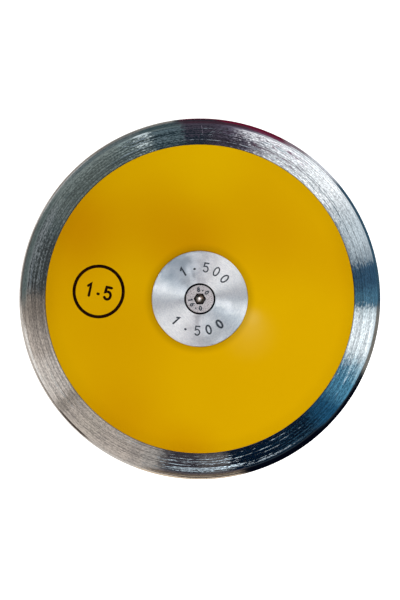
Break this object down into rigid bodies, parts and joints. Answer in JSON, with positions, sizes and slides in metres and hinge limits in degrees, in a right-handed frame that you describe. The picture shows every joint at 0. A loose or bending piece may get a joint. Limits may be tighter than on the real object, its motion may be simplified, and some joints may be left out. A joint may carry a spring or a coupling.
{
  "type": "discus",
  "caption": "Throwing discus: turned steel rim, ribbed plastic side plates and a flat metal centre held by a countersunk screw on each face.",
  "frame": {"origin": "geometric centre of the discus, on its spin axis and half way through its thickness", "axes": "+Z along the spin axis, out of the upper face; +X and +Y in the plane of the rim; a throw spins it about Z"},
  "size_m": [0.201, 0.201, 0.039],
  "materials": {
    "rim_steel": "satin",
    "side_plastic": "gloss",
    "hub_aluminium": "satin",
    "screw_steel": "satin",
    "core_steel": "satin",
    "seal_rubber": "matte"
  },
  "bodies": {
    "root": {"rim": "rim_steel", "side_plate_upper": "side_plastic", "side_plate_lower": "side_plastic", "edge_seal_upper": "seal_rubber", "edge_seal_lower": "seal_rubber", "hub_plate_upper": "hub_aluminium", "hub_plate_lower": "hub_aluminium", "hub_screw_upper": "screw_steel", "hub_screw_lower": "screw_steel", "core_barrel": "core_steel", "weight_washer_1": "core_steel", "weight_washer_2": "core_steel", "weight_washer_3": "core_steel", "weight_washer_4": "core_steel", "pad_washer_upper": "seal_rubber", "pad_washer_lower": "seal_rubber"}
  },
  "joints": []
}
